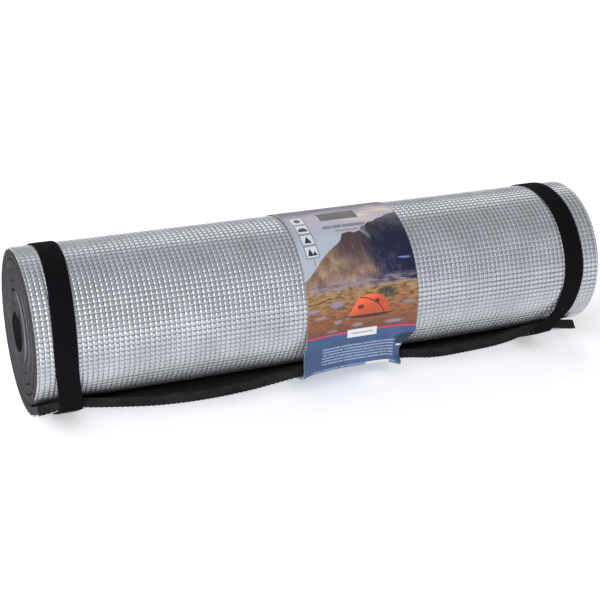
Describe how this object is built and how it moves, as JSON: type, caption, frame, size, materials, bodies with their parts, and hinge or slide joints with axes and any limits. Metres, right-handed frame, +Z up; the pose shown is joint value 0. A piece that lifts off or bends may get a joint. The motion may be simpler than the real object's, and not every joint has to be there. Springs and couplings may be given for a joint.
{
  "type": "foam sleeping pad",
  "caption": "Rolled closed-cell foam sleeping pad with a reflective waffle film, held by two elastic straps and a printed paper sleeve.",
  "frame": {"origin": "bottom centre of the bounding box, on the surface that the roll lies on", "axes": "+X along the roll towards the right end as seen from the front, -Y towards the front where the free end of the mat sticks out, +Z up"},
  "size_m": [0.6, 0.1601, 0.1639],
  "materials": {
    "foam": "matt closed-cell polyethylene foam",
    "film": "satin metallised plastic film with a waffle emboss",
    "elastic": "woven elastic webbing",
    "thread": "sewing thread",
    "printed_paper": "glossy printed paper",
    "glue": "dried hot-melt glue",
    "label_paper": "white self-adhesive paper"
  },
  "bodies": {
    "rolled_mat": {"foam_mat": "foam", "reflective_film": "film"},
    "left_band": {"left_strap": "elastic", "left_strap_stitching": "thread"},
    "right_band": {"right_strap": "elastic", "right_strap_stitching": "thread"},
    "sleeve": {"paper_sleeve": "printed_paper", "sleeve_glue": "glue", "size_label": "label_paper", "barcode_label": "label_paper"}
  },
  "joints": [
    {"name": "left_strap_slide", "type": "slide", "parent": "rolled_mat", "child": "left_band", "axis": [-1, 0, 0], "range_m": [0, 0.07]},
    {"name": "right_strap_slide", "type": "slide", "parent": "rolled_mat", "child": "right_band", "axis": [1, 0, 0], "range_m": [0, 0.07]},
    {"name": "sleeve_slide", "type": "slide", "parent": "rolled_mat", "child": "sleeve", "axis": [1, 0, 0], "range_m": [-0.01, 0.01]}
  ]
}
